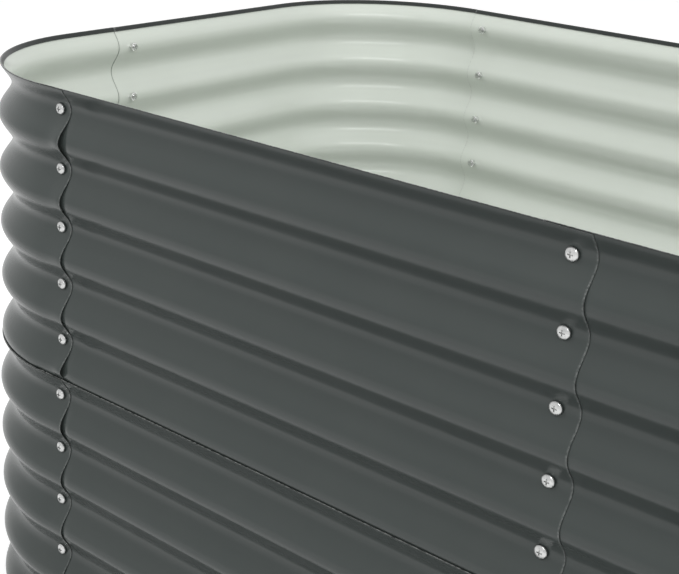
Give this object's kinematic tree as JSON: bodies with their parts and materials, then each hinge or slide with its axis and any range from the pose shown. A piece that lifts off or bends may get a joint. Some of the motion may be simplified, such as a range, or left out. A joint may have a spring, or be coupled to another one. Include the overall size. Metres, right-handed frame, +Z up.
{
  "type": "raised garden bed",
  "caption": "Two-tier raised garden bed, an open ring with rounded ends, of nested corrugated metal sheets bolted together at lapped seams.",
  "frame": {"origin": "on the ground, under the middle of the bed", "axes": "+X along the long sides, +Y across the bed, +Z up"},
  "size_m": [1.7662, 0.84, 0.72],
  "materials": {
    "painted_sheet": "satin grey-green paint outside, pale sage backing coat inside",
    "zinc_fasteners": "bright zinc plate",
    "galvanised_bar": "dull galvanised"
  },
  "bodies": {
    "root": {"upper_corner_sw": "painted_sheet", "upper_side_s1": "painted_sheet", "upper_side_s2": "painted_sheet", "upper_corner_se": "painted_sheet", "upper_corner_nw": "painted_sheet", "upper_side_n1": "painted_sheet", "upper_side_n2": "painted_sheet", "upper_corner_ne": "painted_sheet", "lower_corner_sw": "painted_sheet", "lower_side_s1": "painted_sheet", "lower_side_s2": "painted_sheet", "lower_corner_se": "painted_sheet", "lower_corner_nw": "painted_sheet", "lower_side_n1": "painted_sheet", "lower_side_n2": "painted_sheet", "lower_corner_ne": "painted_sheet", "cross_brace": "galvanised_bar", "bolts_south_west": "zinc_fasteners", "bolts_south_mid": "zinc_fasteners", "bolts_south_east": "zinc_fasteners", "bolts_east_end": "zinc_fasteners", "bolts_north_west": "zinc_fasteners", "bolts_north_mid": "zinc_fasteners", "bolts_north_east": "zinc_fasteners", "bolts_west_end": "zinc_fasteners", "nuts_south_west": "zinc_fasteners", "nuts_south_mid": "zinc_fasteners", "nuts_south_east": "zinc_fasteners", "nuts_east_end": "zinc_fasteners", "nuts_north_west": "zinc_fasteners", "nuts_north_mid": "zinc_fasteners", "nuts_north_east": "zinc_fasteners", "nuts_west_end": "zinc_fasteners"}
  },
  "joints": []
}
